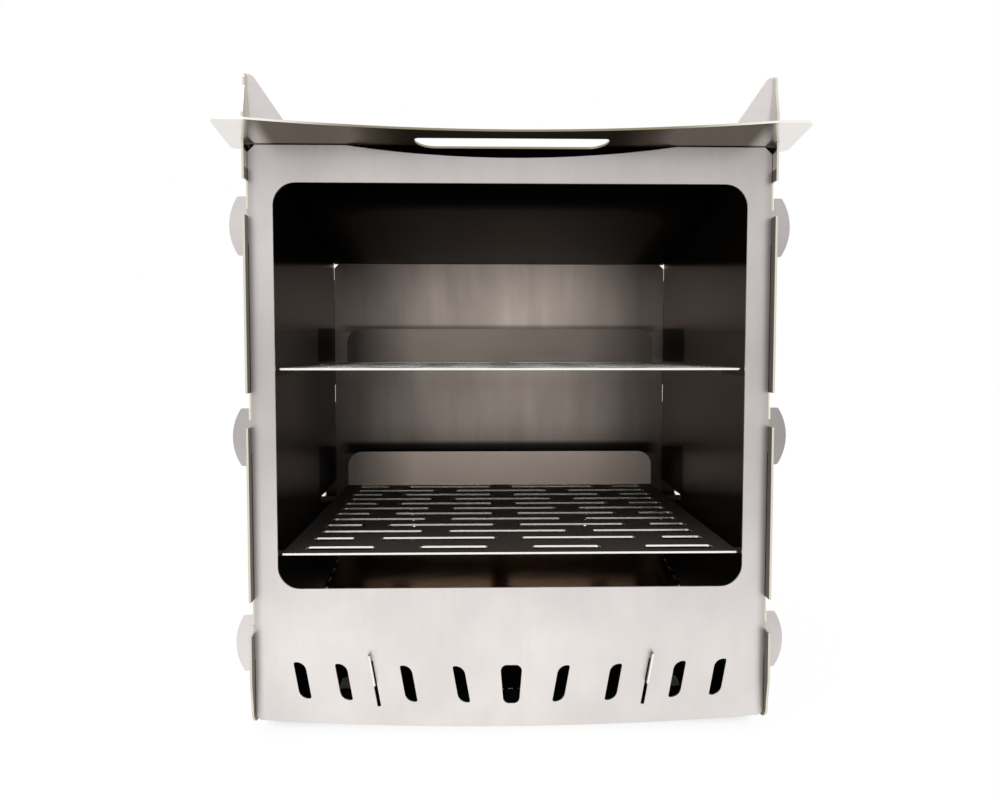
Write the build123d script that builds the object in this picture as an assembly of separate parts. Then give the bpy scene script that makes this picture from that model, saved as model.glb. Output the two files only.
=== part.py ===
from build123d import *
import math
import os

# A flat-packing camp oven of slotted stainless sheets, in millimetres.
# X runs across the mouth, Y from the mouth to the back, Z up from the ground.
# The origin is on the ground, below the middle of the whole oven's box.

# Sheets and fits
sheet = 1.2                 # thickness of the walls, top and floor
rack_sheet = 1.2            # thickness of the two racks
wall_fit = 0.12             # gap between a panel's edge and a side panel
slot_fit = 0.4              # gap each side of a sheet in its slot
seat_fit = 0.25             # gap where one sheet lies on another

# Front and back panels
panel_width = 290.0
cavity_depth = 280.0        # front face of the front panel to front face of the back one
front_height = 331.0        # top edge of the front panel above the ground
back_height = 294.6         # top edge of the back panel above the ground
corner_height = 9.0         # lower corners of both panels above the ground
belly = 5.3                 # how far the lower edge bulges below its corners
panel_chamfer = 4.0         # cut at the upper corners
panel_foot_radius = 4.0     # rounding at the lower corners
dip_half_width = 91.5       # finger dip in the front panel's top edge
dip_depth = 6.5

# Mouth
mouth_width = 263.3
mouth_height = 226.7
mouth_sill = 84.0           # lower edge of the mouth above the ground
mouth_radius = 12.5

# Half-moon ears that clasp the side panels
ear_height = 32.3
ear_end = 4.1               # straight part of an ear's end
ear_reach = 8.9             # reach of its rounded side past the side panel
ear_tip_radius = 1.5
neck_height = 19.0
drop = 15.1                 # fall of a panel into its hooked slots
ear_count = 3
front_ear_low = 53.4        # middle of the lowest ear above the ground
front_ear_pitch = 116.7
back_ear_low = 57.0
back_ear_pitch = 107.0

# Air vents in a shallow smile below the mouth
vent_places = (28.5, 58.5, 95.2, 118.6)
vent_width = 6.5
vent_height = 21.2
vent_middle = 28.1          # height of the middle vent's centre
vent_rise = 3.3             # rise of the outermost vents above the middle one
vent_round = 5.8            # two opposite corners of a vent
vent_nick = 1.0             # the other two corners
middle_vent_top = 12.6
middle_vent_bottom = 9.0
middle_vent_height = 22.3
middle_vent_radius = 3.4

# Side panels
finger_reach = 7.0          # how far a side panel stands out past the panels
side_corner_height = 7.5    # lower edge of a side panel between its feet and corners
side_corner_radius = 8.0
side_taper = 2.5            # lean of the lowest part of its front and back edges
side_taper_height = 14.0
side_taper_end = 17.0       # height where the lean ends above the ground
foot_width = 40.0
foot_inset = 33.0           # start of a foot behind the side panel's edge
foot_ramp = 9.0
fence_height = 14.0         # side panel above the top plate
horn_rise = 36.4            # horn above the top plate's front end
horn_lean = 4.3
horn_lean_start = 22.0      # start of the lean below the horn's tip
horn_lean_end = 7.0
horn_radius = 2.4
flap_width = 27.9           # bent-in triangle that holds the top plate down
flap_tip = 1.6
flap_tip_drop = 1.4
flap_nose = 4.0             # width of the flap just below its tip

# Rack brackets lanced out of the side panels
bracket_places = (20.0, 208.0)
bracket_reach = 20.0
bracket_root = 4.5
bracket_tip = 2.2
bracket_relief = 0.4        # window left above a bracket
lower_rack_height = 101.8   # underside of the lower rack above the ground
upper_rack_height = 207.3

# Racks
rack_gap = 0.65             # each side of a rack in the mouth
rack_front = 6.0            # front edge behind the front face of the front panel
rack_depth = 253.2
rack_corner = 0.6
lip_height = 30.0           # turned-up back edge, from the underside
lip_radius = 12.0
bar_width = 15.0            # metal left between two slots of a row
four_zone = 238.8           # width that a row of four slots covers
three_zone = 236.6          # width that a row of three slots covers
slot_width = 9.0
slot_radius = 3.0
short_slot = 25.7
end_slot = 64.7
first_slot = 40.2
first_row_slots = 4
first_row = 12.5            # middle of the first row behind the front edge
second_row = 37.0
row_pitch = 20.2
row_count = 11              # rows from the second one on
fold_slot_width = 3.0

# Top plate
head_front = 33.5           # head past the front face of the front panel
head_back = 7.6             # rear edge of its wings behind that face
head_radius = 4.0
brow_depth = 14.2           # hollow of the front edge
brow_half_width = 138.0
top_overhang = 2.5          # top plate past the back panel
top_side_fit = 0.15
grip_width = 106.0          # hand slot
grip_front = 9.6
grip_back = 5.2
grip_front_radius = 2.5
grip_back_radius = 11.0

# Floor plate, rising towards the back
floor_front_height = 21.1   # top of the floor at its front bend
floor_lean = 8.3            # degrees, rising towards the back
floor_front = 8.0           # front bend behind the front face of the front panel
floor_back_gap = 0.6
floor_half_width = 134.0
skirt_inset = 5.0
skirt_toe = 18.0            # raised end of a skirt beyond its foot
skirt_arch = 6.0
skirt_foot = 36.0
apron_height = 12.0
apron_side_gap = 8.0
side_dash = 9.0             # perforations along the side bends
side_dash_pitch = 16.5
front_dash = 2.4            # perforations along the front bend
front_dash_pitch = 5.5
dash_width = 1.5

# Hooked tabs that tie the floor plate to the front and back panels
tie_place = 76.1            # half distance between the tabs at the floor
tie_lean = 10.0             # degrees, tops outwards
tie_low = 8.1               # neck above the floor
tie_high = 21.0
tie_hook = 25.3
tie_thick = 3.5
tie_root = 12.0             # start of the tab behind the panel's face
tie_length = 26.0
tie_slot_low = -5.2
tie_slot_margin = 0.3
tie_window_margin = 1.0

# Values worked out from the sizes above
half_panel = panel_width / 2
side_inner = half_panel + wall_fit
side_outer = side_inner + sheet
ear_root = side_outer + seat_fit
head_half_width = ear_root + ear_reach
top_slope = (front_height - back_height) / cavity_depth
top_angle = math.atan(top_slope)
top_stretch = 1 / math.cos(top_angle)
floor_angle = math.radians(floor_lean)
floor_rise = math.tan(floor_angle)
front_reach = head_front
back_reach = cavity_depth + sheet + finger_reach
front_face = (front_reach - back_reach) / 2
back_face = front_face + cavity_depth
front_ears = [front_ear_low + front_ear_pitch * i for i in range(ear_count)]
back_ears = [back_ear_low + back_ear_pitch * i for i in range(ear_count)]
rack_half_width = mouth_width / 2 - rack_gap
overrun = 4 * sheet         # how far a cut runs past an open edge
tiny = 0.01                 # tolerance for finding a corner


def top_underside(depth):
    """Height of the top plate's underside at a depth behind the front face."""
    return front_height + seat_fit - top_slope * (depth - sheet)


def horn_tip():
    """Height of the horns above the ground."""
    return top_underside(0) + sheet + horn_rise


def floor_top(depth):
    """Height of the floor's upper face at a depth behind the front face."""
    return floor_front_height + floor_rise * (depth - floor_front)


def upright(face, depth):
    """A sheet that faces the mouth, with its front face at this depth."""
    plane = Plane(origin=(0, front_face + depth, 0), x_dir=(1, 0, 0), z_dir=(0, -1, 0))
    return extrude(plane * face, amount=-sheet)


def outline(*edges):
    """A flat face inside a closed run of edges."""
    return make_face(Wire(edges))


def polygon(points):
    return make_face(Wire(Polyline(*points, close=True).edges()))


def corners_at(face, *points):
    """The corners of a flat face that lie at these points."""
    return face.vertices().filter_by(
        lambda v: any(math.dist((v.X, v.Y), point) < tiny for point in points)
    )


def ear(middle, side):
    """A half-moon head on a straight neck, on one side of a panel."""
    root = side * ear_root
    end = side * (ear_root + ear_end)
    tip = side * (ear_root + ear_reach)
    low = middle - ear_height / 2
    high = middle + ear_height / 2
    head = outline(
        Line((root, low), (end, low)),
        ThreePointArc((end, low), (tip, middle), (end, high)),
        Line((end, high), (root, high)),
        Line((root, high), (root, low)),
    )
    head = fillet(corners_at(head, (end, low), (end, high)), ear_tip_radius)
    neck_width = ear_root - half_panel + 2 * sheet
    neck_middle = side * (half_panel - sheet + neck_width / 2)
    neck = Pos(neck_middle, middle) * Rectangle(neck_width, neck_height)
    return head + neck


def panel_face(top, ears, dip):
    """Outline shared by the front and back panels, with a bulging lower edge."""
    left_low = (-half_panel, corner_height)
    right_low = (half_panel, corner_height)
    edges = [
        ThreePointArc(left_low, (0, corner_height - belly), right_low),
        Line(right_low, (half_panel, top)),
    ]
    if dip:
        edges += [
            Line((half_panel, top), (dip_half_width, top)),
            ThreePointArc((dip_half_width, top), (0, top - dip), (-dip_half_width, top)),
            Line((-dip_half_width, top), (-half_panel, top)),
        ]
    else:
        edges.append(Line((half_panel, top), (-half_panel, top)))
    edges.append(Line((-half_panel, top), left_low))
    face = outline(*edges)
    face = fillet(corners_at(face, left_low, right_low), panel_foot_radius)
    face = chamfer(corners_at(face, (-half_panel, top), (half_panel, top)), panel_chamfer)
    for middle in ears:
        for side in (-1, 1):
            face += ear(middle, side)
    return face


def vent(place, side):
    """A leaning slot with two opposite corners rounded, mirrored left to right."""
    rise = vent_rise * (place / vent_places[-1]) ** 2
    middle = vent_middle + rise
    lean = vent_height * math.tan(math.radians(tie_lean)) / 2
    half = vent_width / 2
    low = middle - vent_height / 2
    high = middle + vent_height / 2
    low_inner = (side * (place - lean - half), low)
    low_outer = (side * (place - lean + half), low)
    high_outer = (side * (place + lean + half), high)
    high_inner = (side * (place + lean - half), high)
    face = polygon([low_inner, low_outer, high_outer, high_inner])
    face = fillet(corners_at(face, low_inner, high_outer), vent_nick)
    return fillet(corners_at(face, low_outer, high_inner), vent_round)


def middle_vent():
    """The tapered vent in the middle of the row."""
    low = vent_middle - middle_vent_height / 2
    high = vent_middle + middle_vent_height / 2
    face = polygon([
        (-middle_vent_bottom / 2, low),
        (middle_vent_bottom / 2, low),
        (middle_vent_top / 2, high),
        (-middle_vent_top / 2, high),
    ])
    return fillet(face.vertices(), middle_vent_radius)


def tie_slot(side, floor_level):
    """A leaning slot for one hooked tab."""
    lean = math.radians(tie_lean)
    low = tie_slot_low
    high = tie_high + tie_slot_margin
    middle = (low + high) / 2
    x = tie_place + middle * math.tan(lean)
    length = (high - low) / math.cos(lean)
    place = Pos(side * x, floor_level + middle) * Rot(0, 0, -side * tie_lean)
    return place * Rectangle(sheet + 2 * slot_fit, length)


def tie_levels():
    """Height of the floor at the front tabs and at the back tabs."""
    return floor_top(floor_front), floor_top(cavity_depth - floor_front)


def make_front_panel():
    face = panel_face(front_height, front_ears, dip_depth)
    mouth = RectangleRounded(mouth_width, mouth_height, mouth_radius)
    face -= Pos(0, mouth_sill + mouth_height / 2) * mouth
    for side in (-1, 1):
        for place in vent_places:
            face -= vent(place, side)
        face -= tie_slot(side, tie_levels()[0])
    face -= middle_vent()
    return upright(face, 0)


def make_back_panel():
    face = panel_face(back_height, back_ears, 0)
    for side in (-1, 1):
        face -= tie_slot(side, tie_levels()[1])
    return upright(face, cavity_depth)


def side_outline():
    """A side panel seen along X: y is depth behind the front face, z is height."""
    front = -finger_reach
    back = back_reach
    slope_front = fence_height + top_underside(0) + sheet
    slope_back = fence_height + top_underside(back) + sheet
    foot_a = front + foot_inset
    foot_b = foot_a + foot_width
    foot_c = back - foot_inset - foot_width
    foot_d = back - foot_inset
    tip = horn_tip()
    points = [
        (front, side_taper_end + side_taper_height),
        (front + side_taper, side_taper_end),
        (front + side_taper, side_corner_height),
        (foot_a - foot_ramp, side_corner_height),
        (foot_a, 0),
        (foot_b, 0),
        (foot_b + foot_ramp, side_corner_height),
        (foot_c - foot_ramp, side_corner_height),
        (foot_c, 0),
        (foot_d, 0),
        (foot_d + foot_ramp, side_corner_height),
        (back - side_taper, side_corner_height),
        (back - side_taper, side_taper_end),
        (back, side_taper_end + side_taper_height),
        (back, slope_back),
        (sheet, slope_front),
        (sheet, tip),
        (front + horn_lean, tip),
        (front + horn_lean, tip - horn_lean_end),
        (front, tip - horn_lean_start),
    ]
    face = polygon(points)
    low_front = (front + side_taper, side_corner_height)
    low_back = (back - side_taper, side_corner_height)
    face = fillet(corners_at(face, low_front, low_back, (back, slope_back)), side_corner_radius)
    return fillet(corners_at(face, (front + horn_lean, tip)), horn_radius)


def hook_slot(middle, edge, inward):
    """An open mouth at a side panel's edge with a hooked slot behind it for one neck."""
    panel_near = 0 if inward > 0 else cavity_depth
    low = middle - neck_height / 2 - wall_fit
    lip = low + drop
    high = lip + neck_height + 2 * wall_fit
    slot_a = panel_near - slot_fit
    slot_b = panel_near + sheet + slot_fit
    inner = slot_b if inward > 0 else slot_a
    slot = Pos((slot_a + slot_b) / 2, (low + high) / 2) * Rectangle(slot_b - slot_a, high - low)
    outside = edge - inward * sheet
    width = abs(inner - outside)
    mouth = Pos((inner + outside) / 2, (lip + high) / 2) * Rectangle(width, high - lip)
    return slot + mouth


def bracket_shape(height):
    """Bracket seen face on, in depth or reach from its bend and height."""
    return polygon([
        (0, height - bracket_root),
        (bracket_reach, height - bracket_tip),
        (bracket_reach, height),
        (0, height),
    ])


def rack_heights():
    return lower_rack_height, upper_rack_height


def make_side_panel(side):
    """One side panel: hooked slots, feet, bent-in flap and four rack brackets."""
    face = side_outline()
    for middle in front_ears:
        face -= hook_slot(middle, -finger_reach, 1)
    for middle in back_ears:
        face -= hook_slot(middle, back_reach, -1)
    for place in bracket_places:
        for height in rack_heights():
            level = height - seat_fit
            window = bracket_shape(level)
            relief = Pos(bracket_reach / 2, level + bracket_relief / 2)
            window += relief * Rectangle(bracket_reach, bracket_relief)
            face -= Pos(place + sheet, 0) * window
    plane = Plane(origin=(side_inner, front_face, 0), x_dir=(0, 1, 0), z_dir=(1, 0, 0))
    panel = extrude(plane * face, amount=sheet)
    across = Plane(origin=(side_inner, front_face, 0), x_dir=(-1, 0, 0), z_dir=(0, 1, 0))
    base = top_underside(0) + sheet * top_stretch + seat_fit
    flap = polygon([
        (-sheet, base),
        (flap_width, base),
        (flap_nose, horn_tip() - flap_tip_drop),
        (flap_tip, horn_tip()),
        (-sheet, horn_tip()),
    ])
    panel += extrude(across * flap, amount=sheet)
    for place in bracket_places:
        for height in rack_heights():
            stand = across.offset(place) * bracket_shape(height - seat_fit)
            root = Pos(-sheet / 2, height - seat_fit - bracket_root / 2)
            weld = across.offset(place) * (root * Rectangle(sheet, bracket_root))
            panel += extrude(stand, amount=sheet) + extrude(weld, amount=sheet)
    if side < 0:
        panel = mirror(panel, about=Plane.YZ)
    return panel


def make_top_plate():
    """The sloping top, with a T-shaped head and slits that straddle the side panels."""
    front = -head_front * top_stretch
    wing = head_back * top_stretch
    back = (cavity_depth + sheet + top_overhang) * top_stretch
    slit_front = -(finger_reach + slot_fit) * top_stretch
    head = Pos(0, (front + wing) / 2) * Rectangle(2 * head_half_width, wing - front)
    head = fillet(head.vertices(), head_radius)
    body_half = side_inner - top_side_fit
    body = Pos(0, back / 2) * Rectangle(2 * body_half, back)
    face = head + body
    slit_out = side_outer + top_side_fit
    for side in (-1, 1):
        slit = Rectangle(slit_out - body_half, wing - slit_front + overrun)
        face -= Pos(side * (slit_out + body_half) / 2, (slit_front + wing + overrun) / 2) * slit
    radius = (brow_half_width**2 + brow_depth**2) / (2 * brow_depth)
    face -= Pos(0, front + brow_depth - radius) * Circle(radius)
    grip_a = -grip_front * top_stretch
    grip_b = grip_back * top_stretch
    grip = Pos(0, (grip_a + grip_b) / 2) * Rectangle(grip_width, grip_b - grip_a)
    grip_half = grip_width / 2
    grip = fillet(corners_at(grip, (-grip_half, grip_a), (grip_half, grip_a)), grip_front_radius)
    grip = fillet(corners_at(grip, (-grip_half, grip_b), (grip_half, grip_b)), grip_back_radius)
    face -= grip
    plane = Plane(
        origin=(0, front_face, top_underside(0)),
        x_dir=(1, 0, 0),
        z_dir=(0, math.sin(top_angle), math.cos(top_angle)),
    )
    return extrude(plane * face, amount=sheet)


def slot_row(pattern, zone):
    """Slots of the given lengths side by side, centred, with even bars between them."""
    bar = (zone - sum(pattern)) / (len(pattern) - 1)
    start = -zone / 2
    row = Sketch()
    for length in pattern:
        slot = RectangleRounded(length, slot_width, slot_radius)
        row += Pos(start + length / 2, 0) * slot
        start += length + bar
    return row


def slot_rows():
    """All rows of a rack, from the first at the mouth to the last by the fold."""
    long_slot = (four_zone - 2 * short_slot - 3 * bar_width) / 2
    centre_slot = three_zone - 2 * end_slot - 2 * bar_width
    four = slot_row((short_slot, long_slot, long_slot, short_slot), four_zone)
    three = slot_row((end_slot, centre_slot, end_slot), three_zone)
    rows = Pos(0, first_row) * slot_row((first_slot,) * first_row_slots, four_zone)
    for i in range(row_count):
        row = four if i % 2 == 0 else three
        rows += Pos(0, second_row + row_pitch * i) * row
    return rows


def make_rack(height):
    """A slotted rack with its back edge turned up."""
    sheet_face = Pos(0, rack_depth / 2) * Rectangle(2 * rack_half_width, rack_depth)
    front_corners = corners_at(sheet_face, (-rack_half_width, 0), (rack_half_width, 0))
    sheet_face = fillet(front_corners, rack_corner)
    sheet_face -= slot_rows()
    fold = (three_zone - bar_width) / 2
    fold_y = rack_depth - rack_sheet - fold_slot_width / 2
    for side in (-1, 1):
        x = side * (bar_width + fold) / 2
        sheet_face -= Pos(x, fold_y) * Rectangle(fold, fold_slot_width)
    deck = Plane(origin=(0, front_face + rack_front, height)) * sheet_face
    rack = extrude(deck, amount=rack_sheet)
    lip_face = Pos(0, lip_height / 2) * Rectangle(2 * rack_half_width, lip_height)
    lip_left = (-rack_half_width, lip_height)
    lip_right = (rack_half_width, lip_height)
    lip_face = fillet(corners_at(lip_face, lip_left, lip_right), lip_radius)
    back = front_face + rack_front + rack_depth - rack_sheet
    plane = Plane(origin=(0, back, height), x_dir=(1, 0, 0), z_dir=(0, -1, 0))
    return rack + extrude(plane * lip_face, amount=-rack_sheet)


def tie_tab(level, depth, forward):
    """One hooked tab on the right, standing on the floor and leaning outwards.

    The profile runs from the panel's outer face inwards; forward is 1 at the
    front panel and -1 at the back panel.
    """
    lean = math.radians(tie_lean)
    stretch = 1 / math.cos(lean)
    plane = Plane(
        origin=(tie_place, depth, level),
        x_dir=(0, forward, 0),
        z_dir=(forward * math.cos(lean), 0, -forward * math.sin(lean)),
    )
    rise = forward * floor_rise
    near = rise * (tie_root - floor_front)
    far = rise * (tie_root + tie_length - floor_front)
    low = tie_low * stretch
    high = tie_high * stretch
    points = [
        (tie_root, near - sheet),
        (tie_root, low),
        (-tie_thick - slot_fit, low),
        (-tie_thick - slot_fit, tie_hook * stretch),
        (-slot_fit, tie_hook * stretch),
        (-slot_fit, high),
        (tie_root + tie_length / 2, high),
        (tie_root + tie_length, far + low),
        (tie_root + tie_length, far - sheet),
    ]
    return extrude(plane * polygon(points), amount=sheet / 2, both=True)


def tie_window(side, end, inward):
    """The hole that one tab leaves in the flat floor, from one end of it inwards."""
    root = tie_place + sheet + tie_window_margin
    wide = root + tie_high + tie_window_margin
    narrow = root + tie_low + tie_window_margin
    near = end + inward * (tie_root - floor_front)
    middle = near + inward * tie_length / 2
    far = near + inward * tie_length
    return polygon([
        (side * root, near),
        (side * wide, near),
        (side * wide, middle),
        (side * narrow, far),
        (side * root, far),
    ])


def make_floor_plate():
    """The rising floor with perforated bends, side skirts, a front apron and four tabs."""
    stretch = 1 / math.cos(floor_angle)
    back = cavity_depth - floor_back_gap
    length = (back - floor_front) * stretch
    plane = Plane(
        origin=(0, front_face + floor_front, floor_front_height),
        x_dir=(1, 0, 0),
        z_dir=(0, -math.sin(floor_angle), math.cos(floor_angle)),
    )
    face = Pos(0, length / 2) * Rectangle(2 * floor_half_width, length)
    bend = floor_half_width - sheet - dash_width / 2
    side_dashes = int((length - 2 * skirt_inset) // side_dash_pitch)
    first = (length - side_dash_pitch * (side_dashes - 1)) / 2
    for side in (-1, 1):
        for i in range(side_dashes):
            place = Pos(side * bend, first + side_dash_pitch * i)
            face -= place * Rectangle(dash_width, side_dash)
    front_dashes = int((2 * floor_half_width - 4 * apron_side_gap) // front_dash_pitch)
    if front_dashes % 2 == 0:
        front_dashes -= 1
    for i in range(front_dashes):
        x = front_dash_pitch * (i - (front_dashes - 1) / 2)
        face -= Pos(x, sheet + dash_width / 2) * Rectangle(front_dash, dash_width)
    for side in (-1, 1):
        face -= tie_window(side, 0, 1) + tie_window(side, length, -1)
    floor = extrude(plane * face, amount=-sheet)
    underside = sheet * stretch
    skirt_a = floor_front + skirt_inset
    skirt_b = back - skirt_inset
    foot_a = skirt_a + skirt_toe
    foot_b = foot_a + skirt_foot
    foot_d = skirt_b - skirt_toe
    foot_c = foot_d - skirt_foot
    skirt_face = polygon([
        (skirt_a, skirt_arch),
        (foot_a - skirt_arch, skirt_arch),
        (foot_a, 0),
        (foot_b, 0),
        (foot_b + skirt_arch, skirt_arch),
        (foot_c - skirt_arch, skirt_arch),
        (foot_c, 0),
        (foot_d, 0),
        (foot_d + skirt_arch, skirt_arch),
        (skirt_b, skirt_arch),
        (skirt_b, floor_top(skirt_b) - underside / 2),
        (skirt_a, floor_top(skirt_a) - underside / 2),
    ])
    for side in (-1, 1):
        x = floor_half_width if side > 0 else -floor_half_width + sheet
        skirt_plane = Plane(origin=(x, front_face, 0), x_dir=(0, 1, 0), z_dir=(1, 0, 0))
        floor += extrude(skirt_plane * skirt_face, amount=-sheet)
    apron_half = floor_half_width - apron_side_gap
    apron_top = floor_front_height - underside / 2
    apron = Pos(0, apron_top - apron_height / 2) * Rectangle(2 * apron_half, apron_height)
    floor += upright(apron, floor_front)
    front_level, back_level = tie_levels()
    front_tab = tie_tab(front_level, front_face, 1)
    back_tab = tie_tab(back_level, back_face + sheet, -1)
    for tab in (front_tab, back_tab):
        floor += tab + mirror(tab, about=Plane.YZ)
    return floor


def main():
    parts = {
        "front_panel": make_front_panel(),
        "back_panel": make_back_panel(),
        "side_panel_right": make_side_panel(1),
        "side_panel_left": make_side_panel(-1),
        "top_plate": make_top_plate(),
        "floor_plate": make_floor_plate(),
        "lower_rack": make_rack(lower_rack_height),
        "upper_rack": make_rack(upper_rack_height),
    }
    os.makedirs("parts", exist_ok=True)
    for name, part in parts.items():
        export_step(part, f"parts/{name}.step")
        print(name, "solids", len(part.solids()), "volume", round(part.volume))


main()
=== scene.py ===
import math

import bpy
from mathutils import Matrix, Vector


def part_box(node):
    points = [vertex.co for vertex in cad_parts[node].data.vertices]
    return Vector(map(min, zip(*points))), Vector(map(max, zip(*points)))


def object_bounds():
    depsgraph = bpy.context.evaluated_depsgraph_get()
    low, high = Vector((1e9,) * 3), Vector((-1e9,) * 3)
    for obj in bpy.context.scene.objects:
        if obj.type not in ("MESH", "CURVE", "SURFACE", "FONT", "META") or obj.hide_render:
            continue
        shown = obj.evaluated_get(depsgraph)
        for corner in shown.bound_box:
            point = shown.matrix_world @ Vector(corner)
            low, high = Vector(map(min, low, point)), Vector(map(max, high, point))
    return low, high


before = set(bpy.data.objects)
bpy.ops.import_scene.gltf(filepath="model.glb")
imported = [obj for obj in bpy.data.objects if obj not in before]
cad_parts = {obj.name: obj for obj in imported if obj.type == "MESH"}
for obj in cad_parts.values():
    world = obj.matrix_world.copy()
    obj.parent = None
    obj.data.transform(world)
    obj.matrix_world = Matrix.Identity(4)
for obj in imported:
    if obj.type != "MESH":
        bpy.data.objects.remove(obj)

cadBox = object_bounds()
print("frame loaded:", len(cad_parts), "sheets")

screenCurve = 2.2               # linear light is a screen level to this power
hair = 0.0001                   # metres, keeps a mask clear of the face it ends on
facing = 0.5                    # a face looks along an axis up to 60 degrees from it


def tone(red, green, blue):
    # linear colour of screen levels 0..255: (level / 255) to the power of the screen curve
    return tuple((level / 255) ** screenCurve for level in (red, green, blue)) + (1.0,)


def grey(share):
    # a colour that multiplies another one by a share of its screen level
    return (share ** screenCurve,) * 3 + (1.0,)


def silver(level):
    # the nearly neutral grey of steel that faces the light
    return tone(level, level * 0.974, level * 0.962)


def warm(level):
    # the brown grey of steel that mirrors a dark room
    return tone(level, level * 0.93, level * 0.88)


def umber(level):
    # a browner grey for what lies deep inside
    return tone(level, level * 0.84, level * 0.71)


# small helpers for shader trees

def makeMaterial(name):
    material = bpy.data.materials.new(name)
    material.use_nodes = True
    material.node_tree.nodes.clear()
    return material, material.node_tree


def plug(tree, value, socket):
    if isinstance(value, bpy.types.NodeSocket):
        tree.links.new(value, socket)
    else:
        socket.default_value = value


def addNode(tree, kind, inputs=None, **settings):
    made = tree.nodes.new(kind)
    for key, value in settings.items():
        setattr(made, key, value)
    for key, value in (inputs or {}).items():
        plug(tree, value, made.inputs[key])
    return made


def calc(tree, operation, first, second=0.0, third=0.0):
    sockets = {0: first, 1: second, 2: third}
    return addNode(tree, "ShaderNodeMath", sockets, operation=operation).outputs[0]


def less(tree, first, second):
    return calc(tree, "SUBTRACT", first, second)


def flip(tree, value):
    # 1 less the value
    return less(tree, 1.0, value)


def size(tree, value):
    # the value without its sign
    return calc(tree, "ABSOLUTE", value)


def line(tree, value, slope, start):
    # the start plus the slope times the value
    return calc(tree, "MULTIPLY_ADD", value, slope, start)


def isOver(tree, value, limit):
    return calc(tree, "GREATER_THAN", value, limit)


def isUnder(tree, value, limit):
    return calc(tree, "LESS_THAN", value, limit)


def isEdge(tree, direction):
    # 1 where the face looks neither one way nor the other along this axis
    return isUnder(tree, size(tree, direction), facing)


def product(tree, *values):
    # all the values multiplied together
    made = values[0]
    for value in values[1:]:
        made = calc(tree, "MULTIPLY", made, value)
    return made


def largest(tree, *values):
    made = values[0]
    for value in values[1:]:
        made = calc(tree, "MAXIMUM", made, value)
    return made


def ramp(tree, value, low, high, kind="SMOOTHSTEP"):
    # 0 below low, 1 above high, an S curve between them; low may be the larger one
    sockets = {0: value, 1: low, 2: high, 3: 0.0, 4: 1.0}
    return addNode(tree, "ShaderNodeMapRange", sockets, interpolation_type=kind).outputs[0]


def fade(tree, mask, share):
    # a factor of 1 where the mask is 0, and the share of a screen level where it is 1
    return line(tree, mask, share ** screenCurve - 1.0, 1.0)


def stops(tree, value, low, high, colours):
    # colours spread evenly from low to high, with straight blends between them
    made = addNode(tree, "ShaderNodeValToRGB", {0: ramp(tree, value, low, high, "LINEAR")})
    colourStops = made.color_ramp.elements
    while len(colourStops) < len(colours):
        colourStops.new(0.5)
    for i, colour in enumerate(colours):
        colourStops[i].position = i / (len(colours) - 1)
        colourStops[i].color = colour
    return made.outputs[0]


def blendColour(tree, share, first, second, kind="MIX"):
    sockets = {0: share, 6: first, 7: second}
    return addNode(tree, "ShaderNodeMix", sockets, data_type="RGBA", blend_type=kind).outputs[2]


def shade(tree, colour, level):
    # colour times a grey level
    return addNode(tree, "ShaderNodeVectorMath", {0: colour, 3: level}, operation="SCALE").outputs[0]


def split(tree, vector, axes):
    # the vector's numbers along the named axes
    parts = addNode(tree, "ShaderNodeSeparateXYZ", {0: vector}).outputs
    return [parts[axis] for axis in axes]


def placeOf(tree):
    # where a point is in the oven's frame
    return addNode(tree, "ShaderNodeTexCoord").outputs["Object"]


def facingOf(tree):
    # the face's own direction
    return addNode(tree, "ShaderNodeNewGeometry").outputs["True Normal"]


def noise(tree, where, stretch, detail):
    # noise whose cells are 1 / stretch metres long on each axis
    scaled = addNode(tree, "ShaderNodeMapping", {0: where, 3: stretch}).outputs[0]
    sockets = {"Vector": scaled, "Scale": 1.0, "Detail": detail}
    return addNode(tree, "ShaderNodeTexNoise", sockets).outputs[0]


steel = {
    "grainDepth": 0.000008,     # metres
    "grainStrength": 0.6,
    "noiseDetail": 3.0,
    "smudgeRough": 0.05,
    "smudgeCells": (24.0, 24.0, 20.0),
    "smudgeDetail": 4.0,
    "edgeRound": 0.00035,       # metres
    "edgeSamples": 4,
    "specular": 0.5,            # falls to 0 where a face is matte
}


def wobble(tree, where, cells, share):
    # 1 plus noise from -1 to 1 times the share
    centred = less(tree, noise(tree, where, cells, steel["noiseDetail"]), 0.5)
    return line(tree, centred, share * 2, 1.0)


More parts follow.
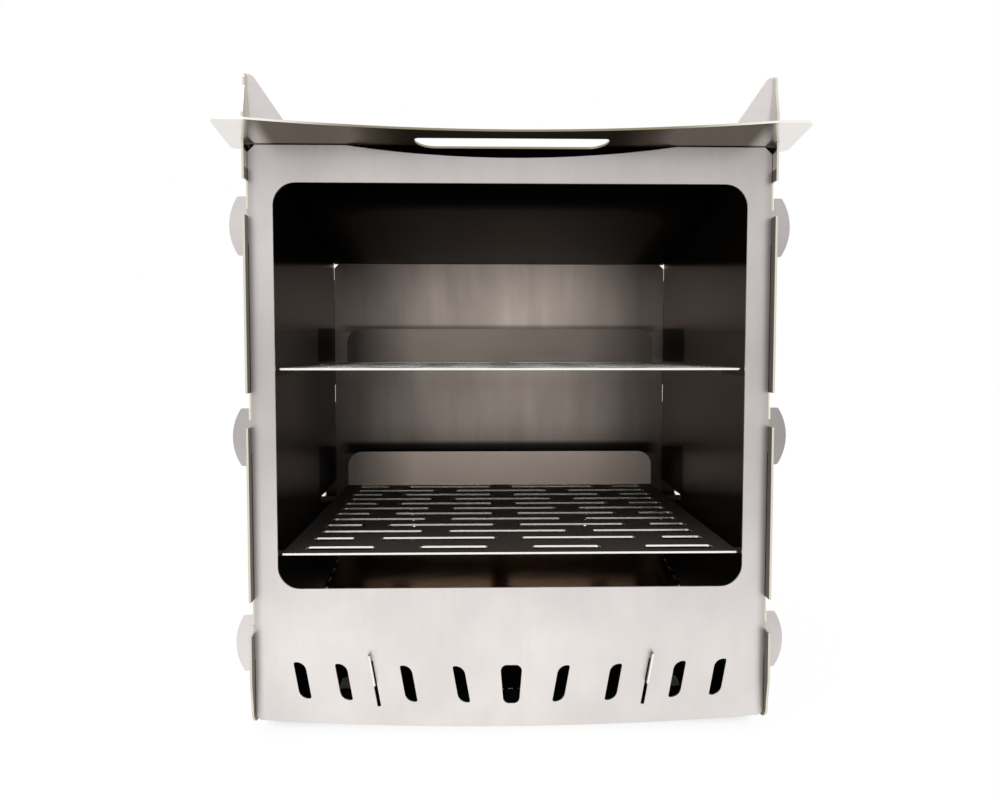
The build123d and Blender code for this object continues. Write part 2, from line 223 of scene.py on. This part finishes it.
def finishSteel(tree, where, colour, look, cut, matte=None):
    # grain: noise stretched along the rolling direction, in tone and height
    # clouds: slow noise in tone; smudges: slow noise that lifts the roughness
    # a cut edge keeps its plain tone; where matte is 1 the face mirrors nothing
    level = product(tree, wobble(tree, where, look["grain"], look["grainTone"]),
                    wobble(tree, where, look["clouds"], look["cloudTone"]))
    plain = flip(tree, cut)
    level = line(tree, less(tree, level, 1.0), plain, 1.0)
    smudge = noise(tree, where, steel["smudgeCells"], steel["smudgeDetail"])
    rough = line(tree, smudge, steel["smudgeRough"], look["rough"])
    rounded = addNode(tree, "ShaderNodeBevel", {"Radius": steel["edgeRound"]},
                      samples=steel["edgeSamples"])
    height = addNode(
        tree, "ShaderNodeBump",
        {"Strength": product(tree, plain, steel["grainStrength"]), "Distance": steel["grainDepth"],
         "Height": noise(tree, where, look["grain"], steel["noiseDetail"]), "Normal": rounded.outputs[0]},
    )
    surface = addNode(
        tree, "ShaderNodeBsdfPrincipled",
        {"Base Color": shade(tree, colour, level), "Metallic": 1.0, "Roughness": rough,
         "Specular IOR Level": steel["specular"], "Normal": height.outputs[0]},
    )
    if matte is not None:
        bare = flip(tree, matte)
        plug(tree, bare, surface.inputs["Metallic"])
        plug(tree, largest(tree, rough, matte), surface.inputs["Roughness"])
        plug(tree, product(tree, bare, steel["specular"]), surface.inputs["Specular IOR Level"])
    addNode(tree, "ShaderNodeOutputMaterial", {"Surface": surface.outputs[0]})


# cut edges: tone is near white in the open, partly the cut metal and partly a painted highlight, and
# hidden is painted shade where parts hide them
cutEdge = {"tone": tone(250, 247, 238), "hidden": tone(30, 26, 22)}
sheetThickness = 0.0012         # metres
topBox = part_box("top_plate")
topSlope = 0.13                 # fall towards the back over the depth
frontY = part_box("front_panel")[0].y
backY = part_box("back_panel")[0].y
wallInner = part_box("side_panel_right")[1].x - sheetThickness
# height of the ceiling at the front panel, from the top plate's lowest point
topLow = topBox[0].z + topSlope * (topBox[1].y - frontY) - sheetThickness


# spans are metres up, across, or from the middle
frontPanel = {
    "paintedHeights": [233, 237, 221, 199, 198, 212, 194],     # painted light and shade: screen levels, ground to top
    "heightSpan": (0.0, 0.33),
    "right": 0.965,             # painted shade: share of the level that is left at the right
    "rightSpan": (-0.05, 0.13),
    # rim: painted shade at the left and right edges, beside the side panels
    "rim": tone(170, 163, 161),
    "rimShare": 0.6,
    "rimSpan": (0.1395, 0.1452),
    # ears: painted light and shade by height, darker at the right
    "ears": [236, 178, 210],
    "earSpan": (0.05, 0.29),
    "rightEarShade": 0.88,
    # inside: painted shade on the face inside the oven
    "inside": warm(44),
    "rough": 0.34,
    "grain": (420.0, 420.0, 40.0), "grainTone": 0.03,
    "clouds": (28.0, 28.0, 22.0), "cloudTone": 0.14,
}


def frontSteel():
    # painted light and shade: the face's tone goes by height, with a darker waist beside the mouth,
    # then falls a little to the right and blends into the rim's darker tone at the left and right edges
    # the ears outside the walls get painted light and shade, and the face inside the oven is painted dark
    look = frontPanel
    material, tree = makeMaterial("front_steel")
    where = placeOf(tree)
    x, z = split(tree, where, "XZ")
    [ny] = split(tree, facingOf(tree), "Y")
    across = size(tree, x)
    right = ramp(tree, x, *look["rightSpan"])
    face = stops(tree, z, *look["heightSpan"], [silver(level) for level in look["paintedHeights"]])
    face = shade(tree, face, fade(tree, right, look["right"]))
    rim = product(tree, ramp(tree, across, *look["rimSpan"]), look["rimShare"])
    face = blendColour(tree, rim, face, look["rim"])
    # the ears' painted light and shade, lower at the right
    ears = stops(tree, z, *look["earSpan"], [silver(level) for level in look["ears"]])
    ears = shade(tree, ears, fade(tree, right, look["rightEarShade"]))
    isEar = ramp(tree, across, wallInner, wallInner + sheetThickness)
    face = blendColour(tree, isEar, face, ears)
    # the face inside the oven gets painted shade
    inside = product(tree, isOver(tree, ny, facing), flip(tree, isEar))
    face = blendColour(tree, inside, face, look["inside"])
    cut = isEdge(tree, ny)
    face = blendColour(tree, cut, face, cutEdge["tone"])
    finishSteel(tree, where, face, look, cut)
    return material


backPanel = {
    "across": [150, 160, 178, 182, 188, 188, 152],      # painted light and shade: screen levels, left to right
    "fall": [0.656, 0.82, 0.82, 1.0, 1.0],              # painted shade: shares of them, low to high
    "fallSpan": (0.12, 0.26),
    "lipShadow": [(0.1295, 0.1405, 0.10), (0.2365, 0.2425, 0.5)],   # from, to, share of light left
    "lipEnd": 0.130,            # metres from the middle, where the racks' turned-up edges end
    "lipSoft": 0.004,
    "outside": tone(205, 202, 199),
    "rough": 0.30,
    "grain": (150.0, 150.0, 3.0), "grainTone": 0.10,
    "clouds": (30.0, 30.0, 9.0), "cloudTone": 0.40,
}


def backSteel():
    # inside: painted light and shade, tone by the place across, times a share that falls towards the
    # floor, and a painted shadow just above each rack's turned-up edge
    look = backPanel
    material, tree = makeMaterial("back_steel")
    where = placeOf(tree)
    x, z = split(tree, where, "XZ")
    [ny] = split(tree, facingOf(tree), "Y")
    across = size(tree, x)
    face = stops(tree, x, -wallInner, wallInner, [warm(level) for level in look["across"]])
    fall = stops(tree, z, *look["fallSpan"], [grey(share) for share in look["fall"]])
    face = blendColour(tree, 1.0, face, fall, "MULTIPLY")
    behindLip = ramp(tree, across, wallInner, look["lipEnd"])
    for low, high, share in look["lipShadow"]:
        fromAbove = ramp(tree, z, high, (low + high) / 2)
        fromBelow = ramp(tree, z, low - look["lipSoft"], low)
        depth = product(tree, behindLip, 1.0 - share, fromAbove, fromBelow)
        face = shade(tree, face, flip(tree, depth))
    outside = largest(tree, isOver(tree, ny, facing), isOver(tree, across, wallInner))
    face = blendColour(tree, outside, face, look["outside"])
    # cut edges: painted highlight in the open, and painted shade where the side walls hide them
    cut = isEdge(tree, ny)
    hidden = isUnder(tree, across, wallInner + hair)
    edge = blendColour(tree, hidden, cutEdge["tone"], cutEdge["hidden"])
    face = blendColour(tree, cut, face, edge)
    finishSteel(tree, where, face, look, cut, product(tree, cut, hidden))
    return material


# depths are metres behind the front panel's face
sidePanel = {
    "outside": tone(208, 205, 203),
    # edge: the walls' cut edges, the cut metal's pale tone with a painted highlight
    "edge": tone(222, 216, 197),
    "finger": tone(84, 77, 68),         # painted shade on the inner face of the strip that stands out past the front panel
    "fingerDepth": 0.003,
    # flaps: painted light, the right one lighter
    "flap": silver(208),
    "rightFlapLight": silver(218),
    "flapHeight": 0.3,                  # a bent tab above this is the flap, below it a bracket
    # bracket: painted shade on the brackets inside the oven
    "bracket": umber(84),
    # painted shade on the inner face, darkest at the front, by the mouth
    "shadedFront": umber(50),
    "shadedBack": umber(66),
    "frontDepth": 0.02,
    # painted light: the inner face is lighter at the right
    "paintedRightLift": 1.38,
    "liftSpan": (-0.1, 0.1),
    "shadowLine": (0.10, 0.266),        # slope, and height at the front
    "shadowSoft": (0.004, -0.005),
    "lowLine": (-0.153, 0.1385),
    "lowSoft": (-0.006, 0.006),
    "faint": 0.10,                      # least light on the inner face
    "gaps": [(0.103, 0.1651, -0.1095), (0.2085, 0.2309, 0.028)],    # deck, edge at the front, its slope
    "gapDepth": (0.188, 0.206),
    "deckSoft": 0.002,
    "gapSoft": (-0.003, 0.002),
    "bandSoft": (0.008, 0.003),
    "bandShare": 0.6,
    "gapShade": 0.85,
    "shadowMatte": 0.9,
    "lowMatte": 0.6,
    "wallMatte": 0.34,
    "patchMatte": 0.12,
    "patchDepth": (0.09, 0.20),
    "patchFrom": (0.135, 0.155),
    "patchTo": (0.215, 0.2),
    "ceilingDepth": 0.004,
    "cornerDepth": 0.012,
    "cornerHeight": 0.318,
    "rough": 0.20,
    "grain": (260.0, 20.0, 260.0), "grainTone": 0.05,
    "clouds": (20.0, 14.0, 20.0), "cloudTone": 0.10,
}


def wallLight(tree, x, z, deep):
    # the light on a wall's inner face, and how matte it is: lit under the shadow line, which climbs
    # to the ceiling's rear edge, and over the low line, which sinks to the back
    look = sidePanel
    upperLit = ramp(tree, less(tree, z, line(tree, deep, *look["shadowLine"])), *look["shadowSoft"])
    lowerLit = ramp(tree, less(tree, z, line(tree, deep, *look["lowLine"])), *look["lowSoft"])
    light = product(tree, upperLit, lowerLit)
    # dark patches where the wall mirrors the gap beyond each rack's turned-up edge
    for deck, edge, slope in look["gaps"]:
        below = less(tree, line(tree, deep, slope, edge), z)
        fromDeck = ramp(tree, z, deck - look["deckSoft"], deck + look["deckSoft"])
        band = product(tree, ramp(tree, below, *look["bandSoft"]), look["bandShare"])
        reach = largest(tree, ramp(tree, deep, *look["gapDepth"]), band)
        gap = product(tree, fromDeck, ramp(tree, below, *look["gapSoft"]), reach)
        light = product(tree, light, flip(tree, product(tree, gap, look["gapShade"])))
        lowerLit = product(tree, lowerLit, flip(tree, gap))
    # a more matte patch at the left, between the racks and near the back
    patch = product(tree, ramp(tree, deep, *look["patchDepth"]), isUnder(tree, x, 0.0),
                    ramp(tree, z, *look["patchFrom"]), ramp(tree, z, *look["patchTo"]))
    matte = largest(tree, product(tree, flip(tree, upperLit), look["shadowMatte"]),
                    product(tree, flip(tree, lowerLit), look["lowMatte"]),
                    line(tree, patch, look["patchMatte"], look["wallMatte"]))
    return largest(tree, light, look["faint"]), matte


def sideSteel():
    # a point is on the wall if it is further out than the wall's inner face, and on a bent tab if not
    # inside: a brown grey with painted shade that darkens to the mouth, times the wall's painted light,
    # more at the right
    look = sidePanel
    material, tree = makeMaterial("side_steel")
    where = placeOf(tree)
    x, y, z = split(tree, where, "XYZ")
    nx, ny = split(tree, facingOf(tree), "XY")
    deep = less(tree, y, frontY)
    back = ramp(tree, y, frontY + look["frontDepth"], backY)
    inside = blendColour(tree, back, look["shadedFront"], look["shadedBack"])
    lift = fade(tree, ramp(tree, x, *look["liftSpan"]), look["paintedRightLift"])
    light, matte = wallLight(tree, x, z, deep)
    inside = shade(tree, inside, product(tree, light, lift))
    # hidden seams painted dark as shade: behind the back panel's edge, and over the ceiling, which slopes
    # as the top plate does
    halfSheet = sheetThickness / 2
    seam = calc(tree, "COMPARE", y, backY + halfSheet, halfSheet + 4 * hair)
    ceiling = line(tree, deep, -topSlope, topLow)
    overCeiling = product(tree, isOver(tree, y, frontY + look["ceilingDepth"]), isOver(tree, z, ceiling))
    seam = largest(tree, seam, overCeiling)
    inside = blendColour(tree, seam, inside, cutEdge["hidden"])
    # in the open: above the top plate, past the back panel, and behind the front panel's cut corners
    aboveTop = isOver(tree, less(tree, z, ceiling), sheetThickness + 3 * hair)
    corner = product(tree, isUnder(tree, y, frontY + look["cornerDepth"]),
                     isOver(tree, z, look["cornerHeight"]))
    pastBack = isOver(tree, y, backY + sheetThickness + 4 * hair)
    inOpen = largest(tree, aboveTop, corner, pastBack)
    inside = blendColour(tree, inOpen, inside, look["outside"])
    # painted shade on the strip's inner face beside the front panel
    onFinger = isUnder(tree, y, frontY + look["fingerDepth"])
    inside = blendColour(tree, product(tree, onFinger, flip(tree, corner)), inside, look["finger"])
    outward = product(tree, nx, calc(tree, "SIGN", x))
    wall = blendColour(tree, isOver(tree, outward, 0.0), inside, look["outside"])
    wallCut = isEdge(tree, nx)
    wall = blendColour(tree, wallCut, wall, look["edge"])
    # the flap at the top, with painted light, and the brackets, with painted shade
    isFlap = isOver(tree, z, look["flapHeight"])
    flap = blendColour(tree, isOver(tree, x, 0.0), look["flap"], look["rightFlapLight"])
    tab = blendColour(tree, isFlap, look["bracket"], flap)
    tabCut = product(tree, isFlap, isEdge(tree, ny))
    tab = blendColour(tree, tabCut, tab, cutEdge["tone"])
    isTab = isUnder(tree, size(tree, x), wallInner - 3 * hair)
    isWall = flip(tree, isTab)
    colour = blendColour(tree, isTab, wall, tab)
    cut = largest(tree, product(tree, isWall, wallCut), product(tree, isTab, tabCut))
    # only the inner face and the brackets are matte
    matte = product(tree, largest(tree, seam, matte), flip(tree, largest(tree, onFinger, inOpen)))
    matte = product(tree, matte, isWall, isUnder(tree, outward, -facing))
    matte = largest(tree, matte, product(tree, isTab, flip(tree, isFlap)))
    finishSteel(tree, where, colour, look, cut, matte)
    return material


# depths are metres behind the front panel's face, and spans are metres from the middle
topPlate = {
    "above": tone(208, 205, 203),
    "under": tone(101, 90, 76),         # painted shade over the mouth
    "dipSpan": (0.055, 0.088),
    "dipShade": 0.16,
    # wing: painted reflection of the bright floor under the wings
    "wing": tone(232, 228, 224),
    "wingSpan": (0.129, 0.139),
    # ceiling: painted shade, black in front and at the sides
    "ceiling": umber(68),
    "ceilingDepth": (0.09, 0.155),
    "ceilingSpan": (0.150, 0.075),
    "insideSoft": 0.002,
    "overhang": umber(76),              # painted shade behind the back panel
    # frontEdge: the middle of the front cut edge, painted darker as shade
    "frontEdge": tone(150, 141, 120),
    "edgeSpan": (0.08, 0.135),
    "edgeDepth": 0.008,
    "matteSpan": (0.10, 0.06),
    "matte": 0.9,
    "litMatte": 0.45,
    "rough": 0.16,
    "grain": (16.0, 200.0, 200.0), "grainTone": 0.04,
    "clouds": (14.0, 14.0, 14.0), "cloudTone": 0.06,
}


def topSteel():
    # painted light and shade on the underside: light under the wings and dark over the mouth, most of all
    # at the finger dip inside the oven it is painted black in front and at the sides, and brown in the
    # middle of the rear half
    look = topPlate
    material, tree = makeMaterial("top_steel")
    where = placeOf(tree)
    x, y = split(tree, where, "XY")
    [nz] = split(tree, facingOf(tree), "Z")
    across = size(tree, x)
    nearDepth, farDepth = look["ceilingDepth"]
    lit = product(tree, ramp(tree, y, frontY + nearDepth, frontY + farDepth),
                  ramp(tree, across, *look["ceilingSpan"]))
    ceiling = shade(tree, look["ceiling"][:3], lit)
    dip = line(tree, ramp(tree, across, *look["dipSpan"]), 1.0 - look["dipShade"], look["dipShade"])
    behindFront = ramp(tree, y, frontY - look["insideSoft"], frontY + look["insideSoft"])
    under = blendColour(tree, behindFront, shade(tree, look["under"][:3], dip), ceiling)
    overhang = isOver(tree, y, backY - 4 * hair)
    under = blendColour(tree, overhang, under, look["overhang"])
    pastWall = isOver(tree, across, wallInner + 4 * hair)
    inside = product(tree, behindFront, flip(tree, pastWall))
    outside = flip(tree, inside)
    wing = largest(tree, pastWall, product(tree, ramp(tree, across, *look["wingSpan"]), outside))
    under = blendColour(tree, wing, under, look["wing"])
    matteInside = largest(tree, product(tree, flip(tree, lit), look["matte"]), look["litMatte"])
    matteDip = product(tree, ramp(tree, across, *look["matteSpan"]), outside, look["matte"])
    matte = largest(tree, product(tree, inside, matteInside), matteDip, overhang)
    face = blendColour(tree, isOver(tree, nz, 0.0), under, look["above"])
    # cut edges: the front one is painted darker in the middle and bright at the sides, and hidden ones are
    # painted dark as shade
    cut = isEdge(tree, nz)
    hidden = isOver(tree, y, frontY + look["edgeDepth"])
    edge = blendColour(tree, ramp(tree, across, *look["edgeSpan"]), look["frontEdge"], cutEdge["tone"])
    face = blendColour(tree, cut, face, blendColour(tree, hidden, edge, cutEdge["hidden"]))
    matte = largest(tree, product(tree, matte, isUnder(tree, nz, -facing)), product(tree, cut, hidden))
    finishSteel(tree, where, face, look, cut, matte)
    return material


# depths are metres behind the front panel's face
floorPlate = {
    "above": umber(210),
    # front: painted shade on the front of the upper face
    "front": umber(12),
    "frontDepth": (0.05, 0.09),         # the painted dark front ends here
    "frontMatte": 0.8,
    "below": tone(150, 146, 142),
    "belowFacing": -0.3,                # a face below looks down more than this
    # tab: a warm grey with painted shade
    "tab": warm(92),
    "tabFacing": 0.6,
    "rimFacing": -0.7,
    "rimDepth": 0.0095,
    "brightMiddle": 0.022,              # half the width of the front bend's middle, whose hole rims are painted bright
    "rough": 0.14,
    "grain": (200.0, 12.0, 200.0), "grainTone": 0.04,
    "clouds": (16.0, 16.0, 16.0), "cloudTone": 0.08,
}


def floorSteel():
    # the tone goes by depth, painted dark in front as shade and light behind, and is one grey below
    # the tabs outside the panels are a warm grey with painted shade, and their edges are painted bright as
    # a highlight
    look = floorPlate
    material, tree = makeMaterial("floor_steel")
    where = placeOf(tree)
    x, y = split(tree, where, "XY")
    ny, nz = split(tree, facingOf(tree), "YZ")
    darkEnd, lightStart = (frontY + depth for depth in look["frontDepth"])
    above = blendColour(tree, ramp(tree, y, darkEnd, lightStart), look["front"], look["above"])
    face = blendColour(tree, isOver(tree, nz, look["belowFacing"]), look["below"], above)
    outside = largest(tree, isUnder(tree, y, frontY), isOver(tree, y, backY + sheetThickness))
    face = blendColour(tree, outside, face, look["tab"])
    tabEdge = product(tree, isOver(tree, size(tree, ny), look["tabFacing"]), outside)
    # the holes along the bends have rims painted bright as light that shows through them, and on the front
    # bend only the middle ones
    middle = isUnder(tree, size(tree, x), look["brightMiddle"])
    rim = product(tree, isUnder(tree, ny, look["rimFacing"]), isOver(tree, y, frontY + look["rimDepth"]),
                  largest(tree, middle, isOver(tree, y, darkEnd)))
    edge = largest(tree, tabEdge, rim)
    face = blendColour(tree, edge, face, cutEdge["tone"])
    front = product(tree, ramp(tree, y, lightStart, darkEnd), flip(tree, outside))
    matte = product(tree, front, look["frontMatte"], flip(tree, edge))
    finishSteel(tree, where, face, look, edge, matte)
    return material


rack = {
    # edge: the slots' cut faces, painted bright as a highlight
    "edge": tone(252, 250, 244),
    "below": umber(120),
    "lipSpan": (-0.125, 0.125),
    "lipRough": 0.50,
    "rough": 0.24,
    "grain": (14.0, 200.0, 200.0), "grainTone": 0.05,
    "clouds": (18.0, 18.0, 18.0), "cloudTone": 0.08,
}
lowerRack = {
    # painted shade: the lower deck is a dark warm grey
    "deck": warm(80),
    "deckMatte": 0.8,
    "lip": [165, 253, 248, 244, 253, 222],      # painted light and shade: screen levels, left to right
}
upperRack = {
    # painted highlight: the upper deck is near white
    "deck": tone(228, 224, 218),
    "deckMatte": 0.6,
    # painted light and shade: screen levels, left to right
    "lip": [96, 208, 196, 188, 192, 136],
}


def rackSteel(node, own):
    # the deck is the flat sheet, and what stands above it is the turned-up edge,
    # whose face goes by the place across as painted light and shade; the deck's upper side is the most
    # matte
    look = rack
    material, tree = makeMaterial(node + "_steel")
    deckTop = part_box(node)[0].z + sheetThickness
    where = placeOf(tree)
    x, z = split(tree, where, "XZ")
    ny, nz = split(tree, facingOf(tree), "YZ")
    flat = isOver(tree, size(tree, nz), facing)
    stands = isOver(tree, z, deckTop + 2 * hair)
    lies = flip(tree, stands)
    deck = blendColour(tree, isOver(tree, nz, 0.0), look["below"], own["deck"])
    # the slots' cut faces are painted bright as a highlight
    deck = blendColour(tree, flat, look["edge"], deck)
    lip = stops(tree, x, *look["lipSpan"], [warm(level) for level in own["lip"]])
    lip = blendColour(tree, isOver(tree, size(tree, ny), facing), own["deck"], lip)
    colour = blendColour(tree, stands, deck, lip)
    rough = line(tree, stands, look["lipRough"] - look["rough"], look["rough"])
    matte = product(tree, lies, own["deckMatte"], isOver(tree, nz, facing))
    finishSteel(tree, where, colour, dict(look, rough=rough), product(tree, lies, flip(tree, flat)), matte)
    return material


def dress(node, material):
    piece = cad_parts[node]
    piece.data.materials.clear()
    piece.data.materials.append(material)


sideMaterial = sideSteel()
dress("front_panel", frontSteel())
dress("back_panel", backSteel())
dress("side_panel_left", sideMaterial)
dress("side_panel_right", sideMaterial)
dress("top_plate", topSteel())
dress("floor_plate", floorSteel())
dress("lower_rack", rackSteel("lower_rack", lowerRack))
dress("upper_rack", rackSteel("upper_rack", upperRack))
print("steel finishes done")


studio = {
    "floorHalf": 6.0,           # metres
    "floorTone": (0.86, 0.86, 0.86, 1.0),
    "seenGlow": 0.92,           # share of the glow that a camera or mirror ray sees on the floor
    "glow": 1.035,
    "shadowReach": 0.30,        # metres
    "shadowSamples": 8,
    "openSky": (0.28, 0.04),    # share of open sky from which the floor darkens, and where it is darkest
    "shadowStart": (0.004, 0.045),      # metres behind the front panel's face
    "skyTone": (1.0, 1.0, 1.0, 1.0),
    "softSky": 0.75,
    "keyPower": 9.0,
    "keySize": 1.4,
    "keyPlace": (-0.9, -1.3, 1.9),
}


def seenRay(tree):
    # 1 for camera, glossy and transmission rays
    path = addNode(tree, "ShaderNodeLightPath")
    kinds = ("Camera", "Glossy", "Transmission")
    return largest(tree, *(path.outputs[f"Is {kind} Ray"] for kind in kinds))


def makeFloor():
    # what is seen is white in the open, and dark where the oven covers the ground, but not at its front
    half = studio["floorHalf"]
    mesh = bpy.data.meshes.new("studio_floor")
    corners = [(-half, -half, 0), (half, -half, 0), (half, half, 0), (-half, half, 0)]
    mesh.from_pydata(corners, [], [(0, 1, 2, 3)])
    floor = bpy.data.objects.new("studio_floor", mesh)
    bpy.context.scene.collection.objects.link(floor)
    material, tree = makeMaterial("studio_paper")
    matte = addNode(tree, "ShaderNodeBsdfDiffuse", {"Color": studio["floorTone"]})
    [y] = split(tree, placeOf(tree), "Y")
    cover = addNode(tree, "ShaderNodeAmbientOcclusion", {"Distance": studio["shadowReach"]},
                    samples=studio["shadowSamples"])
    shadowFrom, shadowFull = (frontY + depth for depth in studio["shadowStart"])
    shaded = product(tree, ramp(tree, cover.outputs["AO"], *studio["openSky"]),
                     ramp(tree, y, shadowFrom, shadowFull))
    strength = product(tree, flip(tree, shaded), studio["glow"])
    glow = addNode(tree, "ShaderNodeEmission", {"Strength": strength})
    share = product(tree, seenRay(tree), studio["seenGlow"])
    mixed = addNode(tree, "ShaderNodeMixShader", {0: share, 1: matte.outputs[0], 2: glow.outputs[0]})
    addNode(tree, "ShaderNodeOutputMaterial", {"Surface": mixed.outputs[0]})
    mesh.materials.append(material)


def makeSky():
    # strength is the soft level for what lights the oven, and 1, plain white, for what is seen
    world = bpy.data.worlds.new("studio_sky")
    world.use_nodes = True
    tree = world.node_tree
    tree.nodes.clear()
    strength = line(tree, seenRay(tree), 1.0 - studio["softSky"], studio["softSky"])
    sky = addNode(tree, "ShaderNodeBackground", {"Color": studio["skyTone"], "Strength": strength})
    addNode(tree, "ShaderNodeOutputWorld", {"Surface": sky.outputs[0]})
    bpy.context.scene.world = world


def makeKey():
    # an area lamp that looks at the middle of the oven's box
    lamp = bpy.data.lights.new("key_lamp", "AREA")
    lamp.energy = studio["keyPower"]
    lamp.size = studio["keySize"]
    key = bpy.data.objects.new("key_lamp", lamp)
    key.location = studio["keyPlace"]
    aim = (cadBox[0] + cadBox[1]) / 2 - key.location
    key.rotation_euler = aim.to_track_quat("-Z", "Y").to_euler()
    bpy.context.scene.collection.objects.link(key)


camera = {
    "place": (-0.01805, -0.60649, 0.21755),
    "pitch": -3.205,            # degrees, below the horizon
    "yaw": 1.384,               # degrees, towards +X
    "lens": 30.834,             # millimetres
    "sensor": 36.0,             # millimetres wide
    "nearest": 0.01,            # metres
}


def makeCamera():
    data = bpy.data.cameras.new("camera")
    data.lens = camera["lens"]
    data.sensor_width = camera["sensor"]
    data.clip_start = camera["nearest"]
    view = bpy.data.objects.new("camera", data)
    view.location = camera["place"]
    view.rotation_euler = (math.radians(90 + camera["pitch"]), 0.0, math.radians(-camera["yaw"]))
    bpy.context.scene.collection.objects.link(view)
    bpy.context.scene.camera = view


makeFloor()
makeSky()
makeKey()
makeCamera()
bpy.context.scene.view_settings.view_transform = "Standard"
print("studio and camera done")
